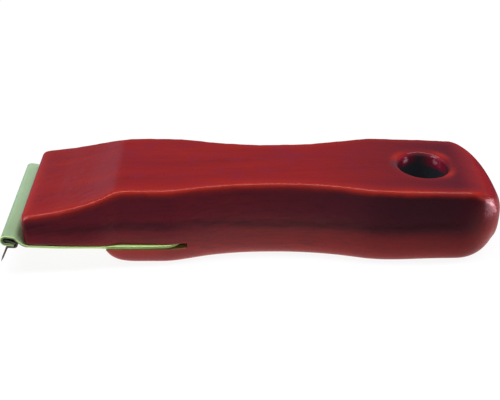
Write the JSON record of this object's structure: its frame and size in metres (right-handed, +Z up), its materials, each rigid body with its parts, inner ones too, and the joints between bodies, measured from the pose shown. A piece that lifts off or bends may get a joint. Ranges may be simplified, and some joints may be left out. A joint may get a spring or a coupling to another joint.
{
  "type": "wood scraper",
  "caption": "Pull scraper: waisted lacquered wood handle with a hanging hole, a folded steel blade holder in a saw cut under its front, and a replaceable hook blade that slides in sideways.",
  "frame": {"origin": "middle of the overall box, on the plane that the handle's flat underside rests on", "axes": "+X from the blade to the tail with the hanging hole, +Y across the blade, +Z up from the underside to the top of the handle"},
  "size_m": [0.2126, 0.062, 0.0374],
  "materials": {
    "lacquered_wood": "gloss red lacquer over hardwood grain, worn along the edges",
    "plated_steel": "pale yellow-green passivated zinc plating, satin",
    "blade_steel": "dark tempered steel with a bright ground edge",
    "screw_steel": "zinc plated, satin"
  },
  "bodies": {
    "handle_body": {"handle": "lacquered_wood", "blade_holder": "plated_steel", "fixing_screw_left": "screw_steel", "fixing_screw_right": "screw_steel"},
    "blade": {"hook_blade": "blade_steel"}
  },
  "joints": [
    {"name": "blade_slide", "type": "slide", "parent": "handle_body", "child": "blade", "axis": [0, 1, 0], "range_m": [-0.062, 0.062]}
  ]
}
